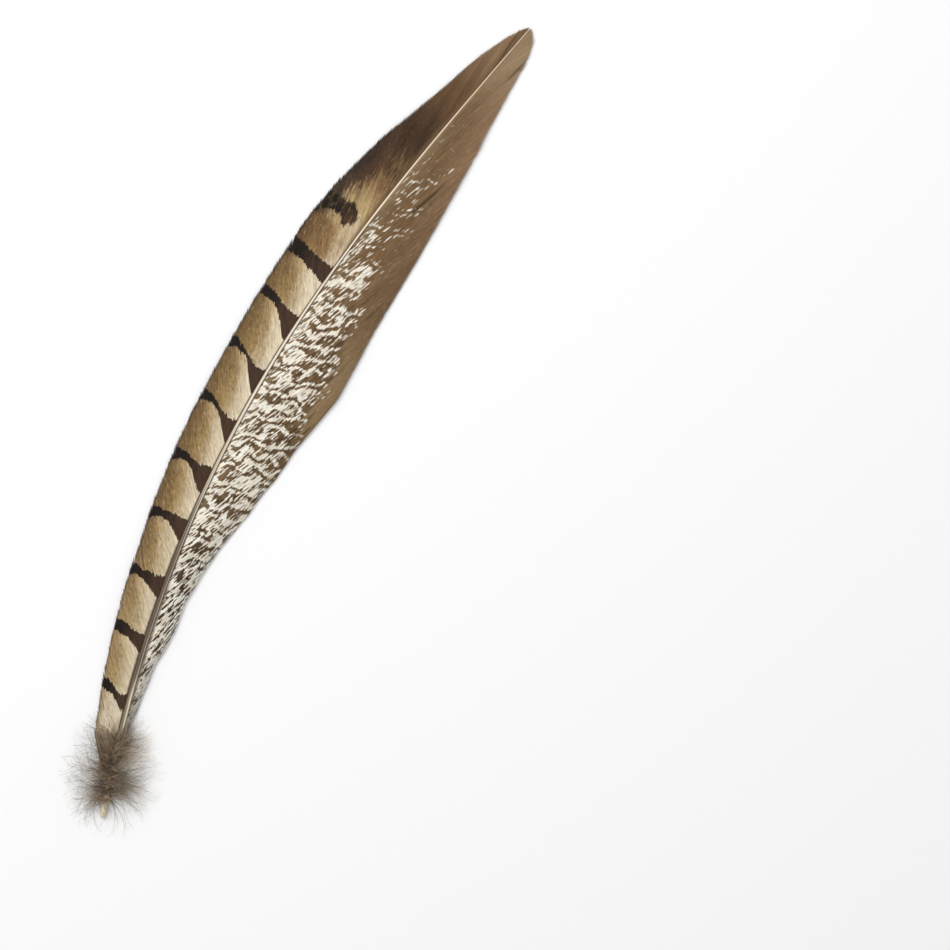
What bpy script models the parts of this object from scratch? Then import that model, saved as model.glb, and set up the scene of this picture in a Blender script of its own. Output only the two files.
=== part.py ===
"""A barred tail feather of a pheasant, lying on a surface with its patterned side up.

Metres, +Z up. The tip points along +Y, and the origin lies on the surface below the
feather's middle. Distances along the shaft are counted from the foot of the vanes, so
the bare quill has distances below zero. Offsets across the shaft are counted
from its middle line; side -1 is the narrow outer vane, and side +1 the wide inner one.
"""
import math
import random

import bmesh
import bpy
import numpy as np

NAME = "pheasant_tail_feather"

# Lengths along the shaft
QUILL_END = -0.0270
SHAFT_TIP = 0.2725
VANE_TIP = 0.2740

# Where the shaft crosses distance zero, seen from above
ROOT_X = 0.0060
ROOT_Y = -0.1197

# Direction of the shaft in degrees from +Y towards +X: a cubic in the share of its length
HEADING = (-28.8, 25.8, 30.0, -16.6)

# Half width of the shaft, from the quill to a fine tip
SHAFT_TIP_RADIUS = 0.00012
SHAFT_TAPER_RADIUS = 0.00100
SHAFT_TAPER_POWER = 1.1
SHAFT_SINK = 0.2
SHAFT_STEP = 0.005
QUILL_ROUNDING = (0.45, 0.80, 0.95)
QUILL_ROUNDING_STEP = 0.0008

# Heights: the shaft is arched, and the vanes droop from it to the surface
QUILL_CREST = 0.00113
TIP_CREST = 0.00095
ARCH = 0.0042
ARCH_POWER = 0.85
DROOP_POWER = 1.6
RIM_LIFT = 0.0005
RIM_WAVE = 0.090
RIPPLE = 0.00022
RIPPLE_WAVE = 0.017

# Points nearer than this are one
MERGE_DISTANCE = 0.00001

# Vanes
THICKNESS = 0.0006
RIM_HEIGHT = 0.00061
GAP = 0.0003
ROWS = 96
COLUMNS = 6
FRAY = 0.00015
SPLIT_ROOT = 0.0006

# Margin of each vane: (distance along the shaft, width from its middle line)
OUTER_MARGIN = (
    (-0.0030, 0.0078), (0.0000, 0.0088), (0.0080, 0.0093), (0.0140, 0.0102), (0.0200, 0.0107),
    (0.0330, 0.0118), (0.0500, 0.0129), (0.0620, 0.0131), (0.0740, 0.0141), (0.1010, 0.0154),
    (0.1340, 0.0162), (0.1560, 0.0168), (0.1760, 0.0174), (0.1820, 0.0175), (0.1960, 0.0167),
    (0.2060, 0.0153), (0.2180, 0.0137), (0.2300, 0.0112), (0.2400, 0.0093), (0.2500, 0.0079),
    (0.2570, 0.0066), (0.2630, 0.0051), (0.2680, 0.0036), (0.2710, 0.0023), (0.2728, 0.0012),
    (0.2740, 0.0003),
)
INNER_MARGIN = (
    (0.0010, 0.0018), (0.0100, 0.0034), (0.0200, 0.0046), (0.0265, 0.0051), (0.0300, 0.0061),
    (0.0330, 0.0069), (0.0400, 0.0080), (0.0500, 0.0082), (0.0540, 0.0092), (0.0590, 0.0099),
    (0.0710, 0.0125), (0.0780, 0.0145), (0.0850, 0.0167),
    (0.0920, 0.0178), (0.1010, 0.0199), (0.1130, 0.0211), (0.1240, 0.0231), (0.1360, 0.0250),
    (0.1490, 0.0242), (0.1630, 0.0229), (0.1760, 0.0220), (0.1890, 0.0208), (0.2020, 0.0190),
    (0.2150, 0.0168), (0.2240, 0.0152), (0.2320, 0.0136), (0.2420, 0.0112), (0.2500, 0.0096),
    (0.2570, 0.0081), (0.2630, 0.0069), (0.2670, 0.0059), (0.2700, 0.0047), (0.2720, 0.0034),
    (0.2732, 0.0017), (0.2740, 0.0004),
)

# How far a barb runs along the shaft for each unit of width: (distance at the margin, ratio)
OUTER_SLANT = (
    (0.0, 1.45), (0.165, 1.50), (0.190, 1.75), (0.211, 2.5), (0.231, 3.7), (0.251, 5.2), (0.274, 7.0),
)
INNER_SLANT = (
    (0.0, 1.90), (0.100, 2.10), (0.150, 2.4), (0.193, 3.0), (0.231, 4.4), (0.264, 7.0), (0.274, 9.0),
)

# How much a barb bows towards the tip: (distance at the margin, share)
OUTER_BOW = ((0.0, 0.30), (0.30, 0.30))
INNER_BOW = ((0.0, 0.20), (0.090, 0.20), (0.110, 0.50), (0.30, 0.50))

# Splits: (distance at the margin, share of the barbs' length still joined, opening at the margin)
OUTER_SPLITS = (
    (0.0200, 0.80, 0.0010), (0.0580, 0.84, 0.0010), (0.1726, 0.86, 0.0012), (0.2706, 0.60, 0.0009),
)
INNER_SPLITS = (
    (0.0830, 0.70, 0.0016), (0.0960, 0.74, 0.0016), (0.2301, 0.48, 0.0011), (0.2615, 0.80, 0.0016),
)

# Down at the foot of the vanes: locks that fan out from a short ridge beside the quill
LOCKS = 11
LOCK_POINTS = 7
LOCK_RADIUS = 0.00125
LOCK_TIP_RADIUS = 0.00018
LOCK_TAPER_POWER = 0.7
LOCK_LENGTHS = (0.0115, 0.0165)
LOCK_RISE = 0.0016
LOCK_TIP_HEIGHT = 0.0009
LOCK_CURL = 16.0
RIDGE_RADIUS = 0.0008
RIDGE_OFFSET = 0.0022
OUTER_DOWN = {"from": -0.0152, "to": -0.0218, "angles": (47.0, 118.0), "seed": 5}
INNER_DOWN = {"from": -0.0062, "to": -0.0212, "angles": (34.0, 112.0), "seed": 9}

# Colours (linear) and roughness
SHAFT_LOOK = ((0.42, 0.33, 0.22, 1.0), 0.35)
OUTER_LOOK = ((0.33, 0.23, 0.12, 1.0), 0.60)
INNER_LOOK = ((0.30, 0.23, 0.15, 1.0), 0.60)
OUTER_DOWN_LOOK = ((0.16, 0.12, 0.09, 1.0), 0.90)
INNER_DOWN_LOOK = ((0.45, 0.41, 0.36, 1.0), 0.90)


def trace_shaft():
    """The shaft's middle line seen from above, as distances and points along it."""
    step = 0.0005
    below = np.arange(0.0, QUILL_END - 2 * step, -step)[:0:-1]
    distance = np.concatenate([below, np.arange(0.0, VANE_TIP + 2 * step, step)])
    turn = np.radians(np.polyval(HEADING, distance / SHAFT_TIP))
    x = np.concatenate([[0.0], np.cumsum(np.sin((turn[1:] + turn[:-1]) / 2) * step)])
    y = np.concatenate([[0.0], np.cumsum(np.cos((turn[1:] + turn[:-1]) / 2) * step)])
    zero = len(below)
    return distance, turn, x - x[zero] + ROOT_X, y - y[zero] + ROOT_Y


DISTANCE, TURN, LINE_X, LINE_Y = trace_shaft()


def place(s, t, z):
    """The point at distance s along the shaft, offset t to its +X side, and height z."""
    turn = np.interp(s, DISTANCE, TURN)
    x = np.interp(s, DISTANCE, LINE_X) + t * math.cos(turn)
    y = np.interp(s, DISTANCE, LINE_Y) - t * math.sin(turn)
    return x, y, z


def share(s):
    """How far along the whole feather the distance s is, from 0 at the quill's end to 1."""
    return min(1.0, max(0.0, (s - QUILL_END) / (VANE_TIP - QUILL_END)))


def half_width(s):
    """Half width of the shaft."""
    return SHAFT_TIP_RADIUS + SHAFT_TAPER_RADIUS * (1.0 - share(s)) ** SHAFT_TAPER_POWER


def crest(s):
    """Height of the vanes' upper face beside the shaft."""
    v = share(s)
    return QUILL_CREST + (TIP_CREST - QUILL_CREST) * v + ARCH * math.sin(math.pi * v ** ARCH_POWER)


def shaft_height(s):
    """Height of the shaft's middle line."""
    return crest(s) - SHAFT_SINK * half_width(s)


def rim(s):
    """Height of a vane's upper face at its margin."""
    return RIM_HEIGHT + RIM_LIFT * (0.5 - 0.5 * math.cos(2 * math.pi * s / RIM_WAVE))


def along(table, s):
    """The value of a table of pairs at distance s."""
    return float(np.interp(s, [row[0] for row in table], [row[1] for row in table]))


class Vane:
    """The shape of one vane: its margin, and the barbs that reach it."""

    def __init__(self, side, margin, slant, bow, splits):
        self.side = side
        self.margin = margin
        self.slant = slant
        self.bow = bow
        self.splits = splits
        self.reach = np.linspace(margin[0][0], margin[-1][0], 600)
        self.roots = np.array([s - along(slant, s) * along(margin, s) for s in self.reach])

    def rows(self):
        """Root and margin distance of each row of barbs; two rows meet at each split."""
        middle = (self.roots + self.reach) / 2
        spread = np.linspace(middle[0], middle[-1], ROWS)
        pairs = [[np.interp(q, middle, self.roots), np.interp(q, middle, self.reach)] for q in spread]
        parted = {}
        for at, joined, opening in self.splits:
            row = min(range(1, ROWS - 2), key=lambda k: abs(pairs[k][1] + pairs[k + 1][1] - 2 * at))
            root = (pairs[row][0] + pairs[row + 1][0]) / 2
            pairs[row] = [root - SPLIT_ROOT, at - opening / 2]
            pairs[row + 1] = [root + SPLIT_ROOT, at + opening / 2]
            parted[row] = joined
        return pairs, parted

    def point(self, root, tip, a, fray):
        """The point at share a along the barb that runs from root to tip."""
        inside = half_width(root) + GAP
        width = max(inside + GAP, along(self.margin, tip) + fray)
        bow = along(self.bow, tip)
        s = root + (tip - root) * a
        t = inside + (width - inside) * ((1 + bow) * a - bow * a * a)
        across = min(1.0, max(0.0, (t - inside) / max(GAP, along(self.margin, s) - inside)))
        if s <= self.margin[0][0]:
            across = a
        z = crest(s) - (crest(s) - rim(s)) * across ** DROOP_POWER
        z += RIPPLE * math.sin(math.pi * (root + tip) / RIPPLE_WAVE) * math.sin(math.pi * across)
        return place(s, self.side * t, z)


def start_scene():
    """Removes what the file held, and makes the collections."""
    for item in list(bpy.data.objects):
        bpy.data.objects.remove(item, do_unlink=True)
    parts = bpy.data.collections.new(NAME)
    helpers = bpy.data.collections.new("helpers")
    for collection in (parts, helpers):
        bpy.context.scene.collection.children.link(collection)
    return parts, helpers


def make_material(name, look):
    """A plain Principled material."""
    colour, roughness = look
    material = bpy.data.materials.new(name)
    material.use_nodes = True
    shader = material.node_tree.nodes["Principled BSDF"]
    shader.inputs["Base Color"].default_value = colour
    shader.inputs["Roughness"].default_value = roughness
    shader.inputs["Metallic"].default_value = 0.0
    return material


def add_tube(name, collection, routes, resolution):
    """A curve object with one closed tube for each route of (x, y, z, radius) points."""
    curve = bpy.data.curves.new(name, "CURVE")
    curve.dimensions = "3D"
    curve.bevel_depth = 1.0
    curve.bevel_resolution = resolution
    curve.use_fill_caps = True
    for route in routes:
        spline = curve.splines.new("POLY")
        spline.points.add(len(route) - 1)
        for point, (x, y, z, radius) in zip(spline.points, route):
            point.co = (x, y, z, 1.0)
            point.radius = radius
    tube = bpy.data.objects.new(name, curve)
    collection.objects.link(tube)
    return tube


def make_shaft(collection):
    """Quill and rachis: one tapering tube, rounded at the quill's end."""
    rounded = [(QUILL_END + k * QUILL_ROUNDING_STEP, size) for k, size in enumerate(QUILL_ROUNDING)]
    start = QUILL_END + len(rounded) * QUILL_ROUNDING_STEP
    count = round((SHAFT_TIP - start) / SHAFT_STEP)
    plain = [(start + (SHAFT_TIP - start) * k / count, 1.0) for k in range(count + 1)]
    route = [(*place(s, 0.0, shaft_height(s)), half_width(s) * size) for s, size in rounded + plain]
    shaft = add_tube("shaft", collection, [route], 3)
    shaft.data.materials.append(make_material("shaft", SHAFT_LOOK))
    return shaft


def make_vane(name, collection, vane, look):
    """A drooping sheet whose rows follow the barbs, thickened downwards."""
    rows, parted = vane.rows()
    rng = random.Random(name)
    fray = [rng.uniform(-FRAY, FRAY) for _ in rows]
    bm = bmesh.new()
    bmesh.ops.create_grid(bm, x_segments=ROWS - 1, y_segments=COLUMNS, size=1.0)
    cells = {}
    for vert in bm.verts:
        cells[vert] = (round((vert.co.x + 1) / 2 * (ROWS - 1)), round((vert.co.y + 1) / 2 * COLUMNS))
    opened = []
    for face in bm.faces:
        row = min(cells[vert][0] for vert in face.verts)
        column = min(cells[vert][1] for vert in face.verts)
        if row in parted and column >= parted[row] * COLUMNS:
            opened.append(face)
    for vert, (row, column) in cells.items():
        root, tip = rows[row]
        vert.co = vane.point(root, tip, column / COLUMNS, fray[row] * column / COLUMNS)
    bmesh.ops.delete(bm, geom=opened, context="FACES")
    bmesh.ops.recalc_face_normals(bm, faces=bm.faces)
    if sum(face.normal.z for face in bm.faces) < 0:
        bmesh.ops.reverse_faces(bm, faces=bm.faces)
    mesh = bpy.data.meshes.new(name)
    bm.to_mesh(mesh)
    bm.free()
    mesh.shade_smooth()
    sheet = bpy.data.objects.new(name, mesh)
    collection.objects.link(sheet)
    body = sheet.modifiers.new("body", "SOLIDIFY")
    body.thickness = THICKNESS
    body.offset = -1.0
    mesh.materials.append(make_material(name, look))
    return sheet


def lock_route(side, root, angle, length, curl):
    """One tapering lock of down that leaves the ridge at an angle from the shaft's direction."""
    s, t = root, RIDGE_OFFSET
    route = []
    for k in range(LOCK_POINTS):
        a = k / (LOCK_POINTS - 1)
        radius = LOCK_TIP_RADIUS + (LOCK_RADIUS - LOCK_TIP_RADIUS) * (1 - a) ** LOCK_TAPER_POWER
        start = shaft_height(root)
        z = start + (LOCK_TIP_HEIGHT - start) * a + LOCK_RISE * math.sin(math.pi * a)
        route.append((*place(s, side * t, max(z, radius)), radius))
        step = length / (LOCK_POINTS - 1)
        direction = math.radians(angle + curl * a)
        s += step * math.cos(direction)
        t += step * math.sin(direction)
    return route


def tube_mesh(tube):
    """The closed mesh of a tube object, which is removed."""
    graph = bpy.context.evaluated_depsgraph_get()
    mesh = bpy.data.meshes.new_from_object(tube.evaluated_get(graph))
    bm = bmesh.new()
    bm.from_mesh(mesh)
    bmesh.ops.remove_doubles(bm, verts=bm.verts, dist=MERGE_DISTANCE)
    bm.to_mesh(mesh)
    bm.free()
    bpy.data.objects.remove(tube, do_unlink=True)
    return mesh


def make_down(name, collection, helpers, side, plan, look):
    """A tuft of down: locks joined to a short ridge that runs beside the quill."""
    rng = random.Random(plan["seed"])
    routes = []
    for k in range(LOCKS):
        v = k / (LOCKS - 1)
        root = plan["from"] + (plan["to"] - plan["from"]) * v
        low, high = plan["angles"]
        angle = low + (high - low) * v
        length = rng.uniform(*LOCK_LENGTHS)
        routes.append(lock_route(side, root, angle, length, rng.uniform(-LOCK_CURL, LOCK_CURL) * v))
    ends = (plan["from"], (plan["from"] + plan["to"]) / 2, plan["to"])
    ridge = [(*place(s, side * RIDGE_OFFSET, shaft_height(s)), RIDGE_RADIUS) for s in ends]
    core = bpy.data.objects.new(name + "_ridge", tube_mesh(add_tube(name + "_ridge", helpers, [ridge], 1)))
    helpers.objects.link(core)
    core.hide_render = True
    core.display_type = "WIRE"
    tuft = bpy.data.objects.new(name, tube_mesh(add_tube(name + "_locks", helpers, routes, 1)))
    collection.objects.link(tuft)
    tuft.data.materials.clear()
    tuft.data.materials.append(make_material(name, look))
    join = tuft.modifiers.new("join", "BOOLEAN")
    join.operation = "UNION"
    join.solver = "EXACT"
    join.use_self = True
    join.object = core
    return tuft


def main():
    parts, helpers = start_scene()
    make_shaft(parts)
    outer = Vane(-1, OUTER_MARGIN, OUTER_SLANT, OUTER_BOW, OUTER_SPLITS)
    inner = Vane(1, INNER_MARGIN, INNER_SLANT, INNER_BOW, INNER_SPLITS)
    make_vane("outer_vane", parts, outer, OUTER_LOOK)
    make_vane("inner_vane", parts, inner, INNER_LOOK)
    make_down("outer_down", parts, helpers, -1, OUTER_DOWN, OUTER_DOWN_LOOK)
    make_down("inner_down", parts, helpers, 1, INNER_DOWN, INNER_DOWN_LOOK)


main()
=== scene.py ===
"""Looks of the pheasant tail feather: barbs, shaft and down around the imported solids.

Metres, +Z up, in the solids' own frame. Distances along the shaft are counted from the
foot of the vanes, and offsets across it from its middle line. The materials' own numbers
are in millimetres.
"""
import math
from statistics import NormalDist

import bpy
import numpy as np
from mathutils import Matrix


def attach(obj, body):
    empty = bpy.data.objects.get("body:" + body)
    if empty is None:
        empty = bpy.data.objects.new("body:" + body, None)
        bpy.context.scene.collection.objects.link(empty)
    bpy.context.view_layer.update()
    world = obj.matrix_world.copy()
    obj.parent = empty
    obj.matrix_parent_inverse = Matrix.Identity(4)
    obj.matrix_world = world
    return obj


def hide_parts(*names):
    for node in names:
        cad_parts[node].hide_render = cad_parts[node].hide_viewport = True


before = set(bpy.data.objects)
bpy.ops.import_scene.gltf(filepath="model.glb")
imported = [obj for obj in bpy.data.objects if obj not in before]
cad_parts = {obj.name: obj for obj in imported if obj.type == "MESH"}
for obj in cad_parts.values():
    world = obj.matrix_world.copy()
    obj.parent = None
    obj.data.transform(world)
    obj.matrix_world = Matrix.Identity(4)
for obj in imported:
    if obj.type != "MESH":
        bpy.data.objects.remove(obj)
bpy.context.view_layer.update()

# The shaft's line, heights and widths, as in the solids
QUILL_END = -0.0270
SHAFT_TIP = 0.2725
VANE_TIP = 0.2740
ROOT_X = 0.0060
ROOT_Y = -0.1197
HEADING = (-28.8, 25.8, 30.0, -16.6)
LINE_STEP = 0.0005
SHAFT_TIP_RADIUS = 0.00012
SHAFT_TAPER_RADIUS = 0.00100
SHAFT_TAPER_POWER = 1.1
SHAFT_SINK = 0.2
SHAFT_SIDES = 24
SHAFT_STATIONS = 360
SHAFT_FLATNESS = 0.92
QUILL_ROUNDING = 0.0024
ROUNDING_STATIONS = 13
ROUNDING_START = 0.25
ROUNDING_POWER = 0.8
GROOVE_DEPTH = 0.22
GROOVE_SPREAD = 0.20
GROOVE_START = (0.040, 0.03)
GROOVE_END = (0.150, 0.05)
QUILL_CREST = 0.00113
TIP_CREST = 0.00095
ARCH = 0.0042
ARCH_POWER = 0.85
DROOP_POWER = 1.6
RIM_LIFT = 0.0005
RIM_WAVE = 0.090
RIM_HEIGHT = 0.00061
RIPPLE = 0.00022
RIPPLE_WAVE = 0.017
LEAST_VANE = 1.2
REACH_SAMPLES = 600
DRIFT_KNOTS = 5

# Half widths of the vanes at distances along the shaft
OUTER_MARGIN = (
    (-0.0030, 0.0078), (0.0000, 0.0088), (0.0080, 0.0093), (0.0140, 0.0102), (0.0200, 0.0107),
    (0.0330, 0.0118), (0.0500, 0.0129), (0.0620, 0.0131), (0.0740, 0.0141), (0.1010, 0.0154),
    (0.1340, 0.0162), (0.1560, 0.0168), (0.1760, 0.0174), (0.1820, 0.0175), (0.1960, 0.0167),
    (0.2060, 0.0153), (0.2180, 0.0137), (0.2300, 0.0112), (0.2400, 0.0093), (0.2500, 0.0079),
    (0.2570, 0.0066), (0.2630, 0.0051), (0.2680, 0.0036), (0.2710, 0.0023), (0.2728, 0.0012),
    (0.2740, 0.0003),
)
INNER_MARGIN = (
    (0.0010, 0.0018), (0.0100, 0.0034), (0.0200, 0.0046), (0.0265, 0.0051), (0.0300, 0.0061),
    (0.0330, 0.0069), (0.0400, 0.0080), (0.0500, 0.0082), (0.0540, 0.0092), (0.0590, 0.0099),
    (0.0710, 0.0125), (0.0780, 0.0145), (0.0850, 0.0167), (0.0920, 0.0178), (0.1010, 0.0199),
    (0.1130, 0.0211), (0.1240, 0.0231), (0.1360, 0.0250), (0.1490, 0.0242), (0.1630, 0.0229),
    (0.1760, 0.0220), (0.1890, 0.0208), (0.2020, 0.0190), (0.2150, 0.0168), (0.2240, 0.0152),
    (0.2320, 0.0136), (0.2420, 0.0112), (0.2500, 0.0096), (0.2570, 0.0081), (0.2630, 0.0069),
    (0.2670, 0.0059), (0.2700, 0.0047), (0.2720, 0.0034), (0.2732, 0.0017), (0.2740, 0.0004),
)

# How far each barb slants, as its rise along the shaft over the vane's width, and how it bows outwards
OUTER_SLANT = (
    (0.0, 1.45), (0.165, 1.50), (0.190, 1.75), (0.211, 2.5), (0.231, 3.7), (0.251, 5.2),
    (0.274, 7.0),
)
INNER_SLANT = (
    (0.0, 1.90), (0.100, 2.10), (0.150, 2.4), (0.193, 3.0), (0.231, 4.4), (0.264, 7.0),
    (0.274, 9.0),
)
OUTER_BOW = ((0.0, 0.30), (0.30, 0.30))
INNER_BOW = ((0.0, 0.20), (0.090, 0.20), (0.110, 0.50), (0.30, 0.50))

# Splits: distance at the margin, the share of the barb up to which they are joined, and the opening
OUTER_SPLITS = (
    (0.0200, 0.80, 0.0010), (0.0580, 0.84, 0.0010),
    (0.1726, 0.86, 0.0012), (0.2706, 0.60, 0.0009),
)
INNER_SPLITS = (
    (0.0830, 0.70, 0.0016), (0.0960, 0.74, 0.0016),
    (0.2301, 0.48, 0.0011), (0.2615, 0.80, 0.0016),
)

# Painted shadows in slits where barbs have parted: distance at the margin, first and last share of
# the barb, darkness, and width along the shaft
OUTER_SLIT_SHADOWS = (
    (0.0135, 0.60, 0.95, 0.5, 0.0005), (0.0275, 0.70, 1.00, 0.6, 0.0005),
    (0.0640, 0.45, 1.00, 0.6, 0.0005), (0.0930, 0.55, 0.80, 0.3, 0.0005),
    (0.1490, 0.60, 0.90, 0.3, 0.0005), (0.2712, 0.05, 0.95, 0.8, 0.0015),
)
INNER_SLIT_SHADOWS = (
    (0.1300, 0.55, 0.75, 0.5, 0.0005), (0.1560, 0.66, 0.86, 0.5, 0.0006),
    (0.1795, 0.68, 0.86, 0.8, 0.0008), (0.1930, 0.50, 0.72, 0.4, 0.0008),
    (0.2301, 0.46, 0.78, 1.0, 0.0016), (0.2655, 0.76, 1.00, 0.8, 0.0020),
)
SLIT_SHADOW_END = 0.08
OUTER_SEED = 11
INNER_SEED = 12

# Barbs: spacing and section, how they narrow to their tips, and how unevenly they lie
BARB_SPACING = 0.00068
BARB_STEPS = 24
BARB_STEP_POWER = 1.25
BARB_OVERLAP = 1.35
BARB_RIDGE = 0.00006
BARB_KEEL = 0.00006
BARB_SHINGLE = 0.00005
BARB_MOST_HALF_WIDTH = 0.00045
BARB_FULL_HALF_WIDTH = 0.2 * BARB_SPACING
BARB_LEAST_THICKNESS = 0.3
BARB_POINT = 0.07
BARB_TIP_WIDTH = 0.08
BARB_ROOT_JITTER = 0.06 * BARB_SPACING
BARB_LENGTHS = (-1.0, 0.35)
BARB_LENGTH_SCATTER = 0.0006
BARB_WANDER = 0.00012
BARB_KNOTS = 60
BARB_HEIGHT_JITTER = 0.000015
BARB_SHARP_ANGLE = 60.0
SPLIT_SPREAD = 0.0030
LOOSE_BELOW = 0.0050
LOOSE_FADE = 0.0080
LOOSE_SCATTER = 3.0
LOOSE_DRIFT = 0.0018
NUDGE = 0.0002

# Baking map of a vane: rows of barbs in groups side by side, upper faces in its left half and lower
# faces in its right half, and where a barb's edges, ridge and ends fall in its own row
MAP_GROUPS = 3
MAP_EDGE = 0.08
MAP_RIDGE = 0.50
MAP_FAR_EDGE = 0.92
MAP_START = 0.03
MAP_LENGTH = 0.94
MAP_CAPS = (0.005, 0.98)
MAP_CAP_ROW = 0.4
MAP_CAP_SIZE = (0.002, 0.0015)

# Dark bars of the outer vane: the lower edge at the shaft, at the crown of the cell below and at the
# margin, then the upper edge at the shaft and at the margin
BARS = (
    (0.0083, 0.0134, 0.0152, 0.0138, 0.0183),
    (0.0277, 0.0332, 0.0333, 0.0346, 0.0373),
    (0.0472, 0.0526, 0.0512, 0.0546, 0.0555),
    (0.0676, 0.0730, 0.0695, 0.0752, 0.0756),
    (0.0846, 0.0924, 0.0903, 0.0936, 0.0953),
    (0.1033, 0.1130, 0.1116, 0.1116, 0.1160),
    (0.1212, 0.1325, 0.1310, 0.1303, 0.1353),
    (0.1417, 0.1511, 0.1505, 0.1514, 0.1546),
    (0.1650, 0.1674, 0.1669, 0.1711, 0.1724),
    (0.1858, 0.1860, 0.1815, 0.1902, 0.1912),
)
CROWN = 0.72
DOME_POWER = 1.30
BAR_RISE_FROM = 0.2
BAR_RISE_OVER = 0.7
BAR_JITTER = 0.00020
BAR_WANDER = 0.00028
BAR_KNOTS = 90
LEAST_CELL = 0.00001
BAR_LIMIT = 3.0

# The last bar is more ragged, stops short of the shaft, and has a tongue up and down
LAST_BAR_FROM = 0.178
LAST_BAR_FADE = 0.006
LAST_BAR_WANDER = 3.0
LAST_BAR_START = 0.19
LAST_BAR_WIDENING = 0.015
LAST_BAR_TONGUE = (0.44, 0.10, 0.0004, 0.0018)

# Where the inner vane is mottled: the share of cream along the shaft, and where it ends outwards
MOTTLE_SHARE = (
    (0.000, 0.66), (0.018, 0.60), (0.028, 0.56), (0.043, 0.52), (0.070, 0.53), (0.083, 0.55),
    (0.109, 0.54), (0.128, 0.49), (0.150, 0.48), (0.163, 0.46), (0.175, 0.39), (0.188, 0.31),
    (0.198, 0.23), (0.208, 0.17), (0.222, 0.10), (0.236, 0.0),
)
MOTTLE_EDGE = (
    (0.000, 0.0300), (0.096, 0.0300), (0.106, 0.0205), (0.125, 0.0192), (0.140, 0.0184),
    (0.150, 0.0165), (0.162, 0.0142), (0.175, 0.0112), (0.188, 0.0100), (0.200, 0.0090),
    (0.215, 0.0095), (0.240, 0.0060),
)
MOTTLE_FADE = ((0.0, 0.0022), (0.150, 0.0022), (0.178, 0.0052), (0.30, 0.0052))
MOTTLE_EDGE_JITTER = 0.0008
MOTTLE_EDGE_WANDER = 0.0009
MOTTLE_EDGE_KNOTS = 80

# More cream beside the shaft, up to a distance along it, and less towards the margin
BESIDE_SHAFT = 0.13
BESIDE_SHAFT_REACH = (0.0054, 0.0045)
BESIDE_SHAFT_END = (0.170, 0.040)
OUTWARD_LOSS = 0.12
OUTWARD_LOSS_REACH = (0.0100, 0.0080)
LEVEL_SHARES = (0.002, 0.998, 60)

# Down: strands in locks, dense short curls and longer loose wisps
LOCKS = 44
LOCK_STRAY = 0.35
STRANDS = 640
STRAND_STEPS = 14
STRAND_SIDES = 3
STRAND_RADII = (0.000035, 0.000100)
STRAND_TAPER = 0.75
WISPS = 0.36
SHORT_LENGTHS = (0.0035, 0.0085)
SHORT_SCATTER = 0.0014
TONES = 16
TONE_SCATTER = 2.4
OUTER_DOWN = {
    "from": -0.0010, "to": -0.0215, "angles": (8.0, 118.0), "lengths": (0.0090, 0.0180), "seed": 21,
}
INNER_DOWN = {
    "from": -0.0030, "to": -0.0210, "angles": (22.0, 112.0), "lengths": (0.0090, 0.0190), "seed": 22,
}

# How the strands are placed and bent: first a mean and spread or a range for the locks, then the
# scatter of single strands
ROOT_POWER = 1.2
ROOT_SCATTER = 0.07
FAN = (0.26, 0.13)
CURL = (4.0, 44.0, 26.0)
CURL_POWER = 1.5
WAVE = (0.15, 0.60, 0.12)
WAVE_POWER = 0.5
WAVES = (0.7, 1.9, 0.25)
PHASE_SCATTER = 0.9
LENGTH_POWER = 0.7
END_SHORTENING = 0.22

# Which strands cross the shaft, where they start in its half widths, and how high they pass
WISPS_CROSSING = 0.15
CURLS_CROSSING = 0.60
CROSSING_OFFSETS = (0.2, 2.4)
PLAIN_OFFSET = 0.7
ON_TOP_ABOVE = -0.0140
ON_TOP_HEIGHT = 1.05
BESIDE_HEIGHTS = (-0.6, 0.7)
CROSSING_LIFTS = (0.0006, 0.0022)
PLAIN_LIFTS = (0.0002, 0.0028)
LIFT_POWER = 0.8
WISP_ENDS = (0.0002, 0.0016)
CURL_ENDS = (0.0006, 0.0026)
BOB = 0.0002
BOBS = 2.3
LEAST_HEIGHT = 0.00012

# Fine hairs along the strands
BARBULES = 15
BARBULE_RADIUS = 0.000016
BARBULE_PLACES = (0.04, 0.97)
BARBULE_LENGTHS = (0.0005, 0.0015)
BARBULE_SHORTENING = 0.5
BARBULE_TILTS = (28.0, 62.0)
BARBULE_ROLL = 0.45
BARBULE_LEAST_HEIGHT = 0.00008

# Baking map of the down: one band for each tone
BAND_START = 0.02
BAND_LENGTH = 0.96
BAND_HALF_WIDTH = 0.018
SPECK_LENGTH = 0.94
SPECK = ((0, 0), (0.01, 0), (0.005, 0.01))

# Camera: the photograph's scale, the way it turns the feather, and where its middle falls
PIXEL = 0.00033
IMAGE_SIZE = 950
PHOTO_TURN = 30.2
PHOTO_ROOT = (119.68, 737.29)
CAMERA_HEIGHT = 4.0
SUBJECT_HEIGHT = 0.003
SENSOR = 36.0

# Baking map of the shaft: strips side by side, each with its start and size, and the two end caps
SHAFT_MAP_STRIPS = 4
SHAFT_MAP_ACROSS = (0.04, 0.92)
SHAFT_MAP_ALONG = (0.005, 0.985)
SHAFT_CAP_RADIUS = 0.0025
SHAFT_CAPS = ((0.0035, 0.9955), (0.2535, 0.9955))

# Floor and light
FLOOR_SIZE = 3.0
FLOOR_GREY = 0.93
FLOOR_ROUGHNESS = 0.9
SURROUND = 0.60
LIGHT_PLACE = (-0.75, 0.35, 1.1)
LIGHT_SIZE = 0.9
LIGHT_POWER = 13.0

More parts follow.
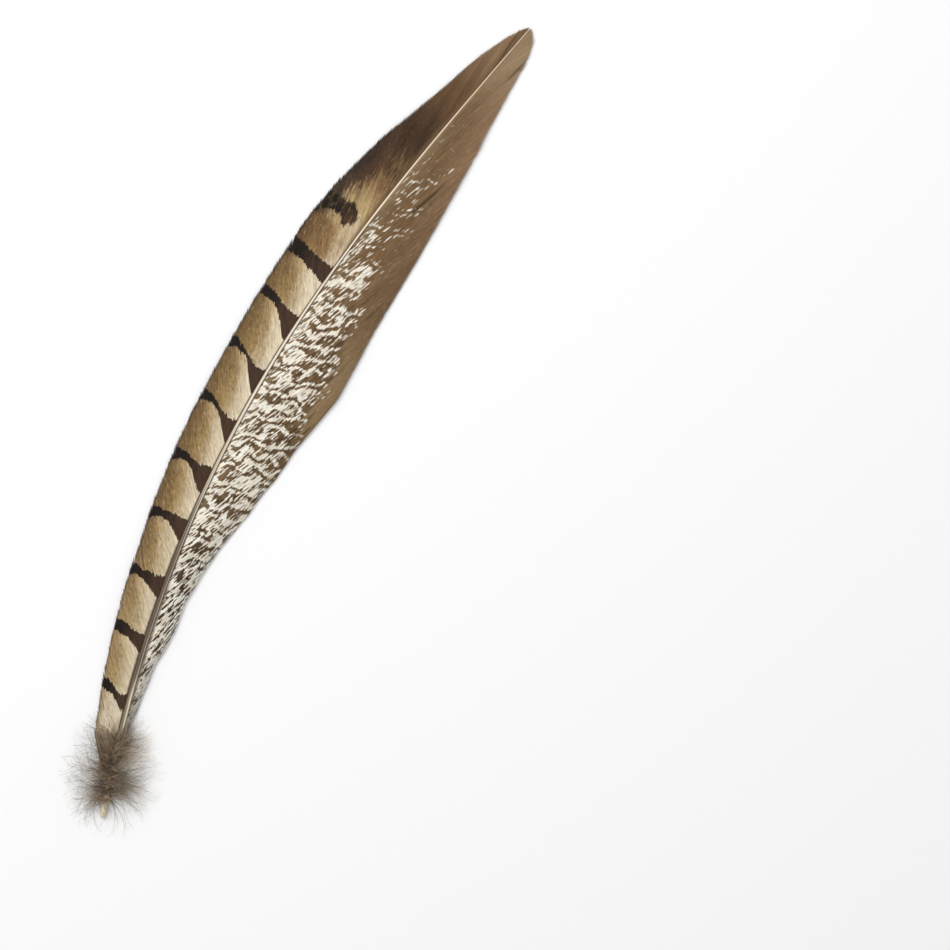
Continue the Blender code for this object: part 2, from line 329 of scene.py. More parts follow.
# Materials
NOISE_SPREAD = 0.115
BUMP_STRENGTH = 0.6
BARBULE_BUMP = 0.00002
VANE_SPECULAR = 0.12
DOWN_SPECULAR = 0.05
GREY_BROWN = ((134, 115, 93), (144, 126, 104), (108, 90, 72))
WHITISH = ((136, 118, 97), (170, 156, 137), (222, 215, 205))


def trace_shaft():
    """The shaft's middle line seen from above, as distances, directions and points."""
    step = LINE_STEP
    below = np.arange(0.0, QUILL_END - 2 * step, -step)[:0:-1]
    distance = np.concatenate([below, np.arange(0.0, VANE_TIP + 8 * step, step)])
    turn = np.radians(np.polyval(HEADING, distance / SHAFT_TIP))
    x = np.concatenate([[0.0], np.cumsum(np.sin((turn[1:] + turn[:-1]) / 2) * step)])
    y = np.concatenate([[0.0], np.cumsum(np.cos((turn[1:] + turn[:-1]) / 2) * step)])
    zero = len(below)
    return distance, turn, x - x[zero] + ROOT_X, y - y[zero] + ROOT_Y


DISTANCE, TURN, LINE_X, LINE_Y = trace_shaft()


def place(s, t, z):
    """Points at distances s along the shaft, offsets t to its +X side, and heights z."""
    turn = np.interp(s, DISTANCE, TURN)
    x = np.interp(s, DISTANCE, LINE_X) + t * np.cos(turn)
    y = np.interp(s, DISTANCE, LINE_Y) - t * np.sin(turn)
    return np.stack(np.broadcast_arrays(x, y, z), axis=-1)


def share(s):
    """How far along the whole feather the distance s is, from 0 to 1."""
    return np.clip((s - QUILL_END) / (VANE_TIP - QUILL_END), 0.0, 1.0)


def half_width(s):
    """Half width of the shaft."""
    return SHAFT_TIP_RADIUS + SHAFT_TAPER_RADIUS * (1.0 - share(s)) ** SHAFT_TAPER_POWER


def crest(s):
    """Height of the vanes' upper face beside the shaft."""
    v = share(s)
    return QUILL_CREST + (TIP_CREST - QUILL_CREST) * v + ARCH * np.sin(np.pi * v ** ARCH_POWER)


def shaft_height(s):
    """Height of the shaft's middle line."""
    return crest(s) - SHAFT_SINK * half_width(s)


def rim(s):
    """Height of a vane's upper face at its margin."""
    return RIM_HEIGHT + RIM_LIFT * (0.5 - 0.5 * np.cos(2 * np.pi * s / RIM_WAVE))


def along(table, s):
    """The values of a table of pairs at distances s."""
    return np.interp(s, [row[0] for row in table], [row[1] for row in table])


def smooth(x):
    """A soft step from 0 to 1."""
    x = np.clip(x, 0.0, 1.0)
    return x * x * (3 - 2 * x)


def unit(vectors):
    """The vectors, each of length 1."""
    return vectors / np.linalg.norm(vectors, axis=-1, keepdims=True)


def wander(rng, count, steps, knots, size):
    """Slow random drift for each of count rows, the same for near rows and near steps."""
    coarse = rng.normal(0.0, size, (knots, DRIFT_KNOTS))
    rows = np.linspace(0, knots - 1, count)
    low = np.minimum(rows.astype(int), knots - 2)
    mix = smooth(rows - low)[:, None]
    by_row = coarse[low] * (1 - mix) + coarse[low + 1] * mix
    at = np.linspace(0, DRIFT_KNOTS - 1, steps)
    left = np.minimum(at.astype(int), DRIFT_KNOTS - 2)
    part = smooth(at - left)
    return by_row[:, left] * (1 - part) + by_row[:, left + 1] * part


def link_mesh(name, points, faces):
    """A new smooth mesh object in the scene."""
    mesh = bpy.data.meshes.new(name)
    mesh.from_pydata(points.reshape(-1, 3).tolist(), [], faces)
    mesh.update()
    mesh.shade_smooth()
    piece = bpy.data.objects.new(name, mesh)
    bpy.context.scene.collection.objects.link(piece)
    return piece


def add_attribute(piece, name, values, domain="POINT"):
    """A number for each point or face of the piece, which its material reads."""
    layer = piece.data.attributes.new(name, "FLOAT", domain)
    layer.data.foreach_set("value", np.asarray(values, dtype=np.float32).ravel())


def add_bake_map(piece, corners):
    """The map that the surface is laid out by when it is baked."""
    layer = piece.data.uv_layers.new(name="OFBake")
    layer.data.foreach_set("uv", np.asarray(corners, dtype=np.float32).ravel())


def lay_out(spots):
    """Corners of faces on the baking map, from pairs of arrays, one pair for each corner."""
    return np.stack([np.stack(spot, axis=-1) for spot in spots], axis=-2).reshape(-1, 2)


class Vane:
    """The barbs of one vane."""

    def __init__(self, side, margin, slant, bow, splits, slit_shadows, seed):
        self.side = side
        self.margin = margin
        self.bow = bow
        self.splits = splits
        self.slit_shadows = slit_shadows
        self.rng = np.random.default_rng(seed)
        self.reach = np.linspace(margin[0][0], margin[-1][0], REACH_SAMPLES)
        self.roots = self.reach - along(slant, self.reach) * along(margin, self.reach)

    def flat(self, root, tip, a):
        """Distance and offset of the point at share a along the barb from root to tip."""
        inside = half_width(root)
        width = np.maximum(inside * LEAST_VANE, along(self.margin, tip))
        bow = along(self.bow, tip)
        s = root + (tip - root) * a
        t = inside + (width - inside) * ((1 + bow) * a - bow * a * a)
        return s, t

    def height(self, s, t, root, tip):
        """Height of the vane's upper face, and how far across the vane the point is."""
        inside = half_width(s)
        width = np.maximum(inside * LEAST_VANE, along(self.margin, s))
        across = np.clip((t - inside) / (width - inside), 0.0, 1.0)
        z = crest(s) - (crest(s) - rim(s)) * across ** DROOP_POWER
        ripple = np.sin(np.pi * (root + tip) / RIPPLE_WAVE) * np.sin(np.pi * across)
        return z + RIPPLE * ripple, across

    def parted(self, root, a):
        """How far each point moves along the shaft where the vane is split."""
        shift = np.zeros(np.broadcast(root, a).shape)
        for at, joined, opening in self.splits:
            seam = np.interp(at, self.reach, self.roots)
            away = (root - seam) / SPLIT_SPREAD
            free = smooth((a - joined) / (1 - joined))
            shift += np.sign(away) * opening / 2 * np.exp(-np.abs(away)) * free
        return shift

    def slit_shadow(self, root, a):
        """How dark the painted shadow is at each point where neighbouring barbs have parted."""
        dark = np.zeros(np.broadcast(root, a).shape)
        for at, first, last, strength, width in self.slit_shadows:
            seam = np.interp(at, self.reach, self.roots)
            shade_line = np.exp(-((root - seam) / width) ** 2)
            dark += strength * shade_line * smooth((a - first) / SLIT_SHADOW_END) * smooth((last - a) / SLIT_SHADOW_END)
        return np.clip(dark, 0.0, 1.0)


def make_barbs(name, vane, marks):
    """All the barbs of a vane as one mesh: each is a thin closed blade with a ridge along it."""
    rng = vane.rng
    count = int((vane.roots[-1] - vane.roots[0]) / BARB_SPACING)
    root = np.linspace(vane.roots[0], vane.roots[-1], count)
    root = root + rng.normal(0.0, BARB_ROOT_JITTER, count)
    tip = np.interp(root, vane.roots, vane.reach)
    loose = smooth((LOOSE_BELOW - tip) / LOOSE_FADE)
    scatter = BARB_LENGTH_SCATTER * (1 + LOOSE_SCATTER * loose)
    reach = tip + rng.uniform(*BARB_LENGTHS, count) * scatter
    a = 1 - (1 - np.linspace(0.0, 1.0, BARB_STEPS + 1)) ** BARB_STEP_POWER
    steps = len(a)
    root, tip, reach = root[:, None], tip[:, None], reach[:, None]

    s, t = vane.flat(root, tip, a * (reach - root) / (tip - root))
    plain = place(s, vane.side * t, 0.0)
    gap = np.gradient(plain, axis=0)
    run = unit(np.gradient(plain, axis=1))
    spacing = np.abs(gap[..., 0] * run[..., 1] - gap[..., 1] * run[..., 0])
    pieces_of_run = np.linalg.norm(np.diff(plain, axis=1), axis=-1)
    length = np.concatenate([np.zeros((count, 1)), np.cumsum(pieces_of_run, axis=1)], axis=1)

    drift = rng.normal(0.0, LOOSE_DRIFT, (count, 1)) * a ** 2 * loose[:, None]
    s = s + vane.parted(root, a) + wander(rng, count, steps, BARB_KNOTS, BARB_WANDER) * a + drift
    z, across = vane.height(s, t, root, tip)
    z = z + rng.normal(0.0, BARB_HEIGHT_JITTER, (count, 1)) * a
    middle = place(s, vane.side * t, z)

    forward = unit(np.gradient(middle, axis=1))
    here = vane.height(s, t, root, tip)[0]
    slope_s = (vane.height(s + NUDGE, t, root, tip)[0] - here) / NUDGE
    slope_t = (vane.height(s, t + NUDGE, root, tip)[0] - here) / NUDGE
    turn = np.interp(s, DISTANCE, TURN)
    ahead = np.stack([np.sin(turn), np.cos(turn), slope_s], axis=-1)
    outward = np.stack([vane.side * np.cos(turn), -vane.side * np.sin(turn), slope_t], axis=-1)
    normal = unit(np.cross(outward, ahead) * vane.side)
    beside = unit(np.cross(normal, forward)) * vane.side

    half = np.minimum(spacing * BARB_OVERLAP / 2, BARB_MOST_HALF_WIDTH)
    ends = np.sqrt(np.clip((1.0 - a) / BARB_POINT, 0.0, 1.0)) * (1 - BARB_TIP_WIDTH) + BARB_TIP_WIDTH
    half = (half * ends)[..., None]
    tall = np.clip(half / BARB_FULL_HALF_WIDTH, BARB_LEAST_THICKNESS, 1.0)
    low = middle - beside * half - normal * BARB_SHINGLE * tall
    high = middle + beside * half + normal * BARB_SHINGLE * tall
    ridge = middle + normal * BARB_RIDGE * tall
    keel = middle - normal * BARB_KEEL * tall
    points = np.stack([low, ridge, high, keel], axis=2)

    faces, corners, under = blade_faces(count, steps, a, vane.side)
    piece = link_mesh(name, points, faces)
    piece.data.set_sharp_from_angle(angle=math.radians(BARB_SHARP_ANGLE))
    full = np.ones((count, steps, 4))
    chance = rng.random((count, 1))
    fields = {
        "along": s * 1000, "offset": t * 1000, "across": across, "root": root * 1000,
        "run": length * 1000, "chance": chance, "seam": (t - half_width(s)) * 1000,
        "slit_shadow": vane.slit_shadow(root, a),
    }
    fields.update(marks(rng, s, t, across, count, steps))
    for key, values in fields.items():
        add_attribute(piece, key, (values * np.ones((count, steps)))[..., None] * full)
    add_attribute(piece, "edge", full * np.array([1.0, 0.0, 1.0, 0.0]))
    add_attribute(piece, "under", under, "FACE")
    add_bake_map(piece, corners)
    return piece


def blade_faces(count, steps, a, side):
    """Faces of the barbs, where each corner goes on the baking map, and which faces look down."""
    index = np.arange(count * steps * 4).reshape(count, steps, 4)
    rows = math.ceil(count / MAP_GROUPS)
    row = (np.arange(count) % rows)[:, None]
    group = (np.arange(count) // rows)[:, None]
    strips = (
        (0, 1, MAP_EDGE, MAP_RIDGE, 0),
        (1, 2, MAP_RIDGE, MAP_FAR_EDGE, 0),
        (2, 3, MAP_FAR_EDGE, MAP_RIDGE, 1),
        (3, 0, MAP_RIDGE, MAP_EDGE, 1),
    )
    faces, corners, under = [], [], []
    for near, far, low, high, below in strips:
        quad = [index[:, :-1, near], index[:, :-1, far], index[:, 1:, far], index[:, 1:, near]]
        u = (group + MAP_GROUPS * below + MAP_START + MAP_LENGTH * a[None, :]) / (2 * MAP_GROUPS)
        v_near = (row + low + 0 * a[None, :]) / rows
        v_far = (row + high + 0 * a[None, :]) / rows
        spots = [
            (u[:, :-1], v_near[:, :-1]),
            (u[:, :-1], v_far[:, :-1]),
            (u[:, 1:], v_far[:, 1:]),
            (u[:, 1:], v_near[:, 1:]),
        ]
        if side < 0:
            quad, spots = quad[::-1], spots[::-1]
        faces.append(np.stack(quad, axis=-1).reshape(-1, 4))
        corners.append(lay_out(spots))
        under.append(np.full(len(faces[-1]), float(below)))
    wide, high = MAP_CAP_SIZE
    square = np.array([[0, 0], [wide, 0], [wide, high], [0, high]])
    for step, at in zip((0, steps - 1), MAP_CAPS):
        cap = index[:, step, :]
        if (step == 0) == (side > 0):
            cap = cap[:, ::-1]
        faces.append(cap)
        u = (group[:, 0] + at) / (2 * MAP_GROUPS)
        spot = np.stack([u, (row[:, 0] + MAP_CAP_ROW) / rows], axis=-1)
        corners.append((spot[:, None, :] + square[None]).reshape(-1, 2))
        under.append(np.zeros(count))
    return np.concatenate(faces).tolist(), np.concatenate(corners), np.concatenate(under)


def bar_marks(rng, s, t, across, count, steps):
    """How deep inside a dark bar each point of the outer vane is, and where between two bars."""
    uneven = 1 + (LAST_BAR_WANDER - 1) * smooth((s - LAST_BAR_FROM) / LAST_BAR_FADE)
    s = s + rng.normal(0.0, BAR_JITTER, (count, 1))
    s = s + wander(rng, count, steps, BAR_KNOTS, BAR_WANDER) * uneven
    dome = np.sin(np.pi / 2 * np.minimum(1.0, across / CROWN)) ** DOME_POWER
    shoulder = np.maximum(0.0, (across - CROWN) / (1 - CROWN)) ** 2
    edges = []
    for low_shaft, low_crown, low_margin, high_shaft, high_margin in BARS:
        low = low_shaft + (low_crown - low_shaft) * dome + (low_margin - low_crown) * shoulder
        rise = smooth((across - BAR_RISE_FROM) / BAR_RISE_OVER)
        high = high_shaft + (high_margin - high_shaft) * rise
        edges.append((low, high))
    centre, spread, down, up = LAST_BAR_TONGUE
    tongue = np.exp(-((across - centre) / spread) ** 2)
    edges[-1] = (edges[-1][0] - down * tongue, edges[-1][1] + up * tongue)
    depth = np.full(s.shape, -1.0)
    cell = smooth(s / edges[0][0])
    for k, (low, high) in enumerate(edges):
        inside = np.minimum(s - low, high - s)
        if k + 1 == len(edges):
            inside = np.minimum(inside, (across - LAST_BAR_START) * LAST_BAR_WIDENING)
        else:
            above = edges[k + 1][0]
            between = (s > high) & (s <= above)
            cell = np.where(between, (s - high) / np.maximum(above - high, LEAST_CELL), cell)
        depth = np.maximum(depth, inside)
    return {"bar": np.clip(depth * 1000, -BAR_LIMIT, BAR_LIMIT), "cell": cell}


def mottle_marks(rng, s, t, across, count, steps):
    """The share of cream in the inner vane's mottling, as a level that its noise has to pass."""
    reach, fade = BESIDE_SHAFT_REACH
    end, end_fade = BESIDE_SHAFT_END
    extra = smooth((reach - t) / fade) * smooth((end - s) / end_fade)
    pale = along(MOTTLE_SHARE, s) + BESIDE_SHAFT * extra
    start, over = OUTWARD_LOSS_REACH
    pale = pale - OUTWARD_LOSS * smooth((t - start) / over)
    edge = along(MOTTLE_EDGE, s) + rng.normal(0.0, MOTTLE_EDGE_JITTER, (count, 1))
    edge = edge + wander(rng, count, steps, MOTTLE_EDGE_KNOTS, MOTTLE_EDGE_WANDER)
    fade = along(MOTTLE_FADE, s)
    pale = pale * (1 - smooth((t - edge + fade) / (2 * fade)))
    levels = np.linspace(*LEVEL_SHARES)
    scores = [NormalDist().inv_cdf(1 - level) for level in levels]
    return {"level": np.interp(pale, levels, scores)}


def make_shaft(name):
    """Quill and rachis as one loft, with a groove along the top of its middle stretch."""
    sides = SHAFT_SIDES
    quarter = np.linspace(0, 1, ROUNDING_STATIONS + 1)[:-1] * np.pi / 2
    rounding = QUILL_END + QUILL_ROUNDING * (1 - np.cos(quarter))
    s = np.concatenate([rounding, np.linspace(QUILL_END + QUILL_ROUNDING, SHAFT_TIP, SHAFT_STATIONS)])
    blunt = ROUNDING_START + (1 - ROUNDING_START) * np.sin(quarter) ** ROUNDING_POWER
    radius = half_width(s) * np.concatenate([blunt, np.ones(SHAFT_STATIONS)])
    angle = np.linspace(0, 2 * np.pi, sides, endpoint=False)
    past_top = np.mod(angle - np.pi / 2 + np.pi, 2 * np.pi) - np.pi
    groove = GROOVE_DEPTH * np.exp(-past_top ** 2 / (2 * GROOVE_SPREAD ** 2))
    grooved = smooth((s - GROOVE_START[0]) / GROOVE_START[1])
    grooved = grooved * (1 - smooth((s - GROOVE_END[0]) / GROOVE_END[1]))
    r = 1 - groove[None, :] * grooved[:, None]
    t = radius[:, None] * r * np.cos(angle)
    z = shaft_height(s)[:, None] + radius[:, None] * r * np.sin(angle) * SHAFT_FLATNESS
    points = place(s[:, None], t, z)
    count = len(s)
    index = np.arange(count * sides).reshape(count, sides)
    strips = SHAFT_MAP_STRIPS
    strip = np.minimum((np.arange(count - 1) * strips) // (count - 1), strips - 1)
    first = np.array([np.argmax(strip == k) for k in range(strips)])
    span = np.array([(strip == k).sum() for k in range(strips)])
    edge, wide = SHAFT_MAP_ACROSS
    foot, long = SHAFT_MAP_ALONG
    faces, corners = [], []
    for k in range(sides):
        far = (k + 1) % sides
        faces.append(np.stack([index[:-1, k], index[1:, k], index[1:, far], index[:-1, far]], axis=-1))
        left = (strip + edge + wide * k / sides) / strips
        right = (strip + edge + wide * (k + 1) / sides) / strips
        low = foot + long * (np.arange(count - 1) - first[strip]) / span[strip]
        high = foot + long * (np.arange(count - 1) - first[strip] + 1) / span[strip]
        corners.append(lay_out([(left, low), (left, high), (right, high), (right, low)]))
    faces = np.concatenate(faces).tolist()
    corners = np.concatenate(corners)
    circle = np.stack([np.cos(angle), np.sin(angle)], axis=-1) * SHAFT_CAP_RADIUS
    faces.append(index[0, :].tolist())
    faces.append(index[-1, ::-1].tolist())
    corners = np.concatenate([corners] + [circle + cap for cap in SHAFT_CAPS])
    piece = link_mesh(name, points, faces)
    add_attribute(piece, "along", (s * 1000)[:, None] * np.ones((count, sides)))
    add_attribute(piece, "turn", np.cos(angle)[None, :] * np.ones((count, sides)))
    add_attribute(piece, "top", np.sin(angle)[None, :] * np.ones((count, sides)))
    add_bake_map(piece, corners)
    return piece


def lay_strands(rng, side, plan):
    """Middle lines, radii and tones of the strands of one tuft of down."""
    lock = rng.integers(0, LOCKS, STRANDS)
    wisp = rng.random(STRANDS) < WISPS
    stray = np.where(wisp, 1.0, LOCK_STRAY)

    def shared(values, scatter):
        """A value for each strand: its lock's own, with some scatter."""
        return values[lock] + rng.normal(0.0, scatter, STRANDS) * stray

    where = np.clip(shared(rng.random(LOCKS) ** ROOT_POWER, ROOT_SCATTER), 0.0, 1.0)
    root = plan["from"] + (plan["to"] - plan["from"]) * where
    spread = where + shared(rng.normal(0.0, FAN[0], LOCKS), FAN[1])
    first, last = plan["angles"]
    angle = np.radians(first + (last - first) * spread)
    least, most = plan["lengths"]
    most = most * (1 - END_SHORTENING * np.abs(2 * where - 1))
    long = least + (most - least) * rng.random(STRANDS) ** LENGTH_POWER
    short = shared(rng.uniform(*SHORT_LENGTHS, LOCKS), SHORT_SCATTER)
    length = np.where(wisp, long, np.maximum(short, SHORT_LENGTHS[0] / 2))

    u = np.linspace(0.0, 1.0, STRAND_STEPS)
    curl = np.radians(shared(rng.normal(CURL[0], CURL[1], LOCKS), CURL[2]))
    wave = np.abs(shared(rng.uniform(WAVE[0], WAVE[1], LOCKS), WAVE[2]))
    waves = shared(rng.uniform(WAVES[0], WAVES[1], LOCKS), WAVES[2])
    phase = shared(rng.uniform(0.0, 2 * np.pi, LOCKS), PHASE_SCATTER)
    swing = np.sin(2 * np.pi * waves[:, None] * u + phase[:, None]) * u ** WAVE_POWER
    heading = angle[:, None] + curl[:, None] * u ** CURL_POWER + wave[:, None] * swing
    heading = np.interp(root, DISTANCE, TURN)[:, None] + side * heading

    crossing = rng.random(STRANDS) < np.where(wisp, WISPS_CROSSING, CURLS_CROSSING)
    offset = np.where(crossing, -rng.uniform(*CROSSING_OFFSETS, STRANDS), PLAIN_OFFSET)
    start = place(root, side * half_width(root) * offset, 0.0)
    step = length[:, None] / (STRAND_STEPS - 1)
    x = start[:, :1] + np.cumsum(np.sin(heading) * step, axis=1) - np.sin(heading[:, :1]) * step
    y = start[:, 1:2] + np.cumsum(np.cos(heading) * step, axis=1) - np.cos(heading[:, :1]) * step

    high_lift = rng.uniform(*CROSSING_LIFTS, STRANDS)
    lift = np.where(crossing, high_lift, rng.uniform(*PLAIN_LIFTS, STRANDS))
    end = np.where(wisp, rng.uniform(*WISP_ENDS, STRANDS), rng.uniform(*CURL_ENDS, STRANDS))
    on_top = crossing | (root > ON_TOP_ABOVE)
    over = np.where(on_top, ON_TOP_HEIGHT, rng.uniform(*BESIDE_HEIGHTS, STRANDS))
    start_height = shaft_height(root) + half_width(root) * over
    z = start_height[:, None] * (1 - u) + end[:, None] * u
    z = z + lift[:, None] * np.sin(np.pi * u ** LIFT_POWER)
    z = np.maximum(z + BOB * np.sin(2 * np.pi * (u * BOBS + phase[:, None])), LEAST_HEIGHT)

    radius = rng.uniform(*STRAND_RADII, STRANDS)[:, None] * (1.0 - STRAND_TAPER * u)
    tone = np.round(shared(rng.uniform(0.0, TONES - 1.0, LOCKS), TONE_SCATTER))
    return np.stack([x, y, z], axis=-1), radius, np.clip(tone, 0, TONES - 1).astype(int)


def make_tubes(path, radius, tone, beside, upward):
    """Points, faces and baking map of the strands, each a closed tube."""
    sides = STRAND_SIDES
    ring = 2 * np.pi * np.arange(sides) / sides
    tube = path[:, :, None] + radius[:, :, None, None] * (
        beside[:, :, None] * np.cos(ring)[:, None] + upward[:, :, None] * np.sin(ring)[:, None]
    )
    index = np.arange(STRANDS * STRAND_STEPS * sides).reshape(STRANDS, STRAND_STEPS, sides)
    u = np.linspace(0.0, 1.0, STRAND_STEPS)
    row = (tone[:, None] + 0.5 + 0 * u[None, :-1]) / TONES
    near = BAND_START + BAND_LENGTH * u[None, :-1] + 0 * row
    beyond = BAND_START + BAND_LENGTH * u[None, 1:] + 0 * row
    below, above = row - BAND_HALF_WIDTH, row + BAND_HALF_WIDTH
    spots = lay_out([(near, below), (near, above), (beyond, above), (beyond, below)])
    faces, corners = [], []
    for k in range(sides):
        far = (k + 1) % sides
        quad = [index[:, :-1, k], index[:, :-1, far], index[:, 1:, far], index[:, 1:, k]]
        faces += np.stack(quad, axis=-1).reshape(-1, 4).tolist()
        corners.append(spots)
    for at, order in ((0, slice(None, None, -1)), (STRAND_STEPS - 1, slice(None))):
        faces += index[:, at, order].tolist()
        corners.append(specks(np.full(STRANDS, float(at > 0)), tone))
    return tube.reshape(-1, 3), faces, corners


def specks(at, tone):
    """Corners on the baking map of small triangles at shares along strands of the given tones."""
    spot = np.stack([BAND_START + SPECK_LENGTH * at, (tone + 0.5) / TONES], axis=-1)
    return (spot[:, None] + np.array(SPECK)).reshape(-1, 2)


def make_hairs(rng, path, tone, forward, beside, upward, first):
    """Points, faces and baking map of the fine hairs, then each one's strand and place along it."""
    hairs = STRANDS * BARBULES
    owner = np.repeat(np.arange(STRANDS), BARBULES)
    at = rng.uniform(*BARBULE_PLACES, hairs)
    position = at * (STRAND_STEPS - 1)
    low = np.minimum(position.astype(int), STRAND_STEPS - 2)
    part = (position - low)[:, None]

    def on_strand(values):
        """Values along the strands at each hair's root."""
        return values[owner, low] * (1 - part) + values[owner, low + 1] * part

    base = on_strand(path)
    ahead = unit(on_strand(forward))
    up = on_strand(upward)
    around = rng.uniform(-BARBULE_ROLL, BARBULE_ROLL, hairs)
    around = around + np.where(rng.random(hairs) < 0.5, 0.0, np.pi)
    out = on_strand(beside) * np.cos(around)[:, None] + up * np.sin(around)[:, None]
    tilt = np.radians(rng.uniform(*BARBULE_TILTS, hairs))[:, None]
    way = unit(ahead * np.cos(tilt) + out * np.sin(tilt))
    reach = rng.uniform(*BARBULE_LENGTHS, hairs)[:, None] * (1.0 - BARBULE_SHORTENING * at[:, None])
    point = base + way * reach
    point[:, 2] = np.maximum(point[:, 2], BARBULE_LEAST_HEIGHT)
    aside = unit(np.cross(way, up)) * BARBULE_RADIUS
    above = np.cross(aside, way)
    ring = 2 * np.pi * np.arange(3) / 3
    foot = [base + aside * math.cos(r) + above * math.sin(r) for r in ring]
    spikes = np.stack(foot + [point], axis=1)
    index = first + np.arange(hairs * 4).reshape(hairs, 4)
    faces, corners = [], []
    for a, b, c in ((0, 1, 3), (1, 2, 3), (2, 0, 3), (2, 1, 0)):
        faces += index[:, [a, b, c]].tolist()
        corners.append(specks(at, tone[owner]))
    return spikes.reshape(-1, 3), faces, corners, owner, at


def make_down(name, side, plan):
    """A tuft of down: a dense core of short curls, some across the shaft, and longer loose wisps."""
    rng = np.random.default_rng(plan["seed"])
    path, radius, tone = lay_strands(rng, side, plan)
    forward = unit(np.gradient(path, axis=1))
    beside = unit(np.cross(forward, [0.0, 0.0, 1.0]))
    upward = np.cross(beside, forward)
    tubes, faces, corners = make_tubes(path, radius, tone, beside, upward)
    spikes, hair_faces, hair_corners, owner, at = make_hairs(
        rng, path, tone, forward, beside, upward, len(tubes)
    )
    piece = link_mesh(name, np.concatenate([tubes, spikes]), faces + hair_faces)
    full = np.ones((STRANDS, STRAND_STEPS, STRAND_SIDES))
    out = full * np.linspace(0.0, 1.0, STRAND_STEPS)[None, :, None]
    add_attribute(piece, "out", np.concatenate([out.ravel(), np.repeat(at, 4)]))
    tones = np.concatenate([(full * tone[:, None, None]).ravel(), np.repeat(tone[owner], 4)])
    add_attribute(piece, "tone", tones / (TONES - 1))
    add_bake_map(piece, np.concatenate(corners + hair_corners))
    return piece


def colour(red, green, blue):
    """A linear colour from display values, 0 to 255."""
    linear = [((value / 255 + 0.055) / 1.055) ** 2.4 for value in (red, green, blue)]
    return (*linear, 1.0)


class Wire:
    """A number or colour in a material's nodes, which takes part in ordinary arithmetic."""

    def __init__(self, tree, socket):
        self.tree = tree
        self.socket = socket

    def math(self, operation, *others):
        node = self.tree.nodes.new("ShaderNodeMath")
        node.operation = operation
        feed(self.tree, node.inputs, (self, *others))
        return Wire(self.tree, node.outputs[0])

    def __add__(self, other):
        return self.math("ADD", other)

    def __sub__(self, other):
        return self.math("SUBTRACT", other)

    def __mul__(self, other):
        return self.math("MULTIPLY", other)

    def __truediv__(self, other):
        return self.math("DIVIDE", other)

    def sine(self):
        return self.math("SINE")

    def flip(self):
        """1 minus the value."""
        return self.math("MULTIPLY_ADD", -1.0, 1.0)

    def rise(self, low, high, start=0.0, end=1.0):
        """A soft step from start to end as the value goes from low to high."""
        node = self.tree.nodes.new("ShaderNodeMapRange")
        node.interpolation_type = "SMOOTHSTEP"
        feed(self.tree, node.inputs, (self, low, high, start, end))
        return Wire(self.tree, node.outputs[0])


def feed(tree, slots, values):
    """Sets or links each input in turn."""
    for slot, value in zip(slots, values):
        if isinstance(value, Wire):
            tree.links.new(value.socket, slot)
        else:
            slot.default_value = value


class Paint:
    """A material under construction."""

    def __init__(self, name):
        self.material = bpy.data.materials.new(name)
        self.material.use_nodes = True
        self.tree = self.material.node_tree
        self.shader = self.tree.nodes["Principled BSDF"]

    def read(self, *attributes):
        """Attributes of the mesh."""
        wires = []
        for attribute in attributes:
            node = self.tree.nodes.new("ShaderNodeAttribute")
            node.attribute_name = attribute
            wires.append(Wire(self.tree, node.outputs["Fac"]))
        return wires

    def noise(self, x, y, z=0.0, detail=2.0, roughness=0.5):
        """Noise with features one unit across, mean 0 and spread about 1."""
        join = self.tree.nodes.new("ShaderNodeCombineXYZ")
        feed(self.tree, join.inputs, (x, y, z))
        node = self.tree.nodes.new("ShaderNodeTexNoise")
        node.inputs["Scale"].default_value = 1.0
        node.inputs["Detail"].default_value = detail
        node.inputs["Roughness"].default_value = roughness
        self.tree.links.new(join.outputs[0], node.inputs["Vector"])
        return (Wire(self.tree, node.outputs[0]) - 0.5) / NOISE_SPREAD

    def mix(self, share_of_second, first, second):
        """A blend of two colours, each a wire or display values from 0 to 255."""
        node = self.tree.nodes.new("ShaderNodeMix")
        node.data_type = "RGBA"
        first, second = [c if isinstance(c, Wire) else colour(*c) for c in (first, second)]
        slots = (node.inputs[0], node.inputs[6], node.inputs[7])
        feed(self.tree, slots, (share_of_second, first, second))
        return Wire(self.tree, node.outputs[2])

    def shade(self, base, factor):
        """A colour made lighter or darker."""
        node = self.tree.nodes.new("ShaderNodeMix")
        node.data_type = "RGBA"
        node.blend_type = "MULTIPLY"
        node.inputs[0].default_value = 1.0
        join = self.tree.nodes.new("ShaderNodeCombineColor")
        feed(self.tree, join.inputs, (factor, factor, factor))
        feed(self.tree, (node.inputs[6], node.inputs[7]), (base, Wire(self.tree, join.outputs[0])))
        return Wire(self.tree, node.outputs[2])

    def finish(self, base, roughness, height=None, distance=BARBULE_BUMP):
        """Joins the base colour, roughness and bump to the shader."""
        inputs = self.shader.inputs
        feed(self.tree, (inputs["Base Color"], inputs["Roughness"]), (base, roughness))
        if height is not None:
            bump = self.tree.nodes.new("ShaderNodeBump")
            bump.inputs["Strength"].default_value = BUMP_STRENGTH
            bump.inputs["Distance"].default_value = distance
            self.tree.links.new(height.socket, bump.inputs["Height"])
            self.tree.links.new(bump.outputs[0], inputs["Normal"])
        return self.material


